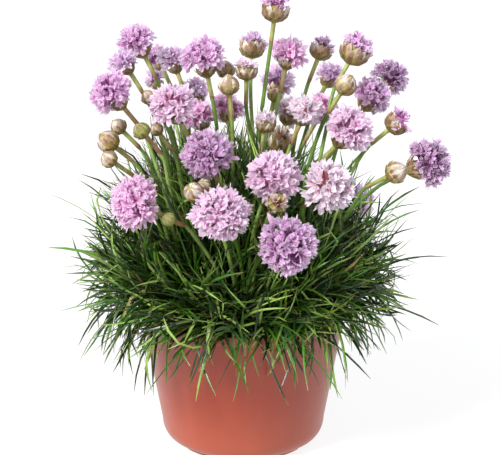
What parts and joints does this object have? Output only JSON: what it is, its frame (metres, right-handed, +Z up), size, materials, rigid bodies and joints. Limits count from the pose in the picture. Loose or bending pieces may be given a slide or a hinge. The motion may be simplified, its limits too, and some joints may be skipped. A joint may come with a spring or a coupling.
{
  "type": "potted sea thrift",
  "caption": "Potted sea thrift: round pink flower heads and papery buds on slender stalks above tufts of grassy leaves, in a tapered plastic pot of soil with drain holes.",
  "frame": {"origin": "middle of the pot's underside, on the plane of its foot", "axes": "+Z up along the pot's axis, +X to the right of somebody in front of the plant, +Y away from them"},
  "size_m": [0.218, 0.2154, 0.24],
  "materials": {
    "pot": "satin",
    "soil": "matte",
    "leaves": "satin",
    "stalks": "satin",
    "petals": "matte"
  },
  "bodies": {
    "root": {"pot": "pot", "soil": "soil", "leaves_middle": "leaves", "leaves_front": "leaves", "leaves_right": "leaves", "leaves_back_right": "leaves", "leaves_back_left": "leaves", "leaves_left": "leaves", "stalks_middle": "stalks", "stalks_front": "stalks", "stalks_right": "stalks", "stalks_back_right": "stalks", "stalks_back_left": "stalks", "stalks_left": "stalks", "half_01": "petals", "half_12": "petals", "half_14": "petals", "half_15": "petals", "half_19": "petals", "half_25": "petals", "half_27": "petals", "half_33": "petals", "half_36": "petals", "bloom_02": "petals", "bloom_03": "petals", "bloom_04": "petals", "bloom_05": "petals", "bloom_06": "petals", "bloom_07": "petals", "bloom_08": "petals", "bloom_09": "petals", "bloom_10": "petals", "bloom_11": "petals", "bloom_13": "petals", "bloom_16": "petals", "bloom_17": "petals", "bloom_18": "petals", "bloom_20": "petals", "bloom_21": "petals", "bloom_22": "petals", "bloom_23": "petals", "bloom_24": "petals", "bloom_26": "petals", "bloom_28": "petals", "bloom_29": "petals", "bloom_30": "petals", "bloom_31": "petals", "bloom_32": "petals", "bloom_34": "petals", "bloom_35": "petals", "bloom_37": "petals", "bloom_38": "petals", "bloom_39": "petals", "bloom_40": "petals"}
  },
  "joints": []
}
